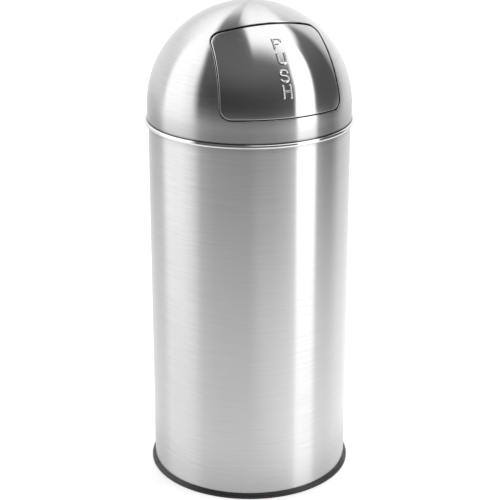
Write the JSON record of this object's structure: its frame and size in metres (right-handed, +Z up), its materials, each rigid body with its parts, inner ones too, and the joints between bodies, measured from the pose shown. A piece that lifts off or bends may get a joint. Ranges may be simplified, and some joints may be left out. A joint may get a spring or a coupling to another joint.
{
  "type": "dome top waste receptacle",
  "caption": "Round steel waste bin with a hemispherical top, a sprung push flap in the dome, a black base ring and a lift-out inner bucket with a bail.",
  "frame": {"origin": "on the floor, on the axis of the round body", "axes": "+Z up along the body's axis; -Y is the front, where the push flap is; +X is to the right of someone who faces the flap"},
  "size_m": [0.3109, 0.311, 0.7293],
  "materials": {
    "brushed_steel_body": "brushed round the body, satin",
    "brushed_steel_dome": "brushed in circles round the crown, satin",
    "polished_steel": "finely brushed, nearly polished",
    "black_plastic": "satin moulded",
    "galvanised": "galvanised, dull",
    "zinc_plate": "zinc plated, satin",
    "steel_wire": "drawn bright wire",
    "spring_steel": "spring steel, oiled",
    "white_nylon": "natural nylon",
    "black_rubber": "matt rubber"
  },
  "bodies": {
    "body": {"body_shell": "brushed_steel_body", "bottom_plate": "zinc_plate", "base_ring": "black_plastic"},
    "bucket": {"bucket_wall": "galvanised", "bucket_bottom": "galvanised", "bucket_ear_left": "zinc_plate", "bucket_ear_right": "zinc_plate"},
    "bail": {"bail": "steel_wire"},
    "dome": {"dome_shell": "brushed_steel_dome", "locating_ring": "zinc_plate", "hinge_bracket_left": "zinc_plate", "hinge_bracket_right": "zinc_plate", "hinge_rod": "steel_wire", "rod_clip_left": "spring_steel", "rod_clip_right": "spring_steel", "closing_spring_left": "spring_steel", "closing_spring_right": "spring_steel"},
    "flap": {"flap_panel": "polished_steel", "flap_ear_left": "zinc_plate", "flap_ear_right": "zinc_plate", "flap_bush_left": "white_nylon", "flap_bush_right": "white_nylon", "stop_tab_left": "zinc_plate", "stop_tab_right": "zinc_plate", "stop_bumper_left": "black_rubber", "stop_bumper_right": "black_rubber"}
  },
  "joints": [
    {"name": "bucket_lift", "type": "slide", "parent": "body", "child": "bucket", "axis": [0, 0, 1], "range_m": [0, 0.56]},
    {"name": "bail_swing", "type": "hinge", "parent": "bucket", "child": "bail", "pos_m": [0, 0, 0.5338], "axis": [1, 0, 0], "range_deg": [0, 90]},
    {"name": "dome_lift", "type": "slide", "parent": "bucket", "child": "dome", "axis": [0, 0, 1], "range_m": [0, 0.2]},
    {"name": "flap_swing", "type": "hinge", "parent": "dome", "child": "flap", "pos_m": [0, -0.05199, 0.68974], "axis": [1, 0, 0], "range_deg": [0, 60], "stiffness_Nm_per_rad": 0.25, "springref_deg": -80.21, "deforming": ["closing_spring_left", "closing_spring_right"]}
  ]
}
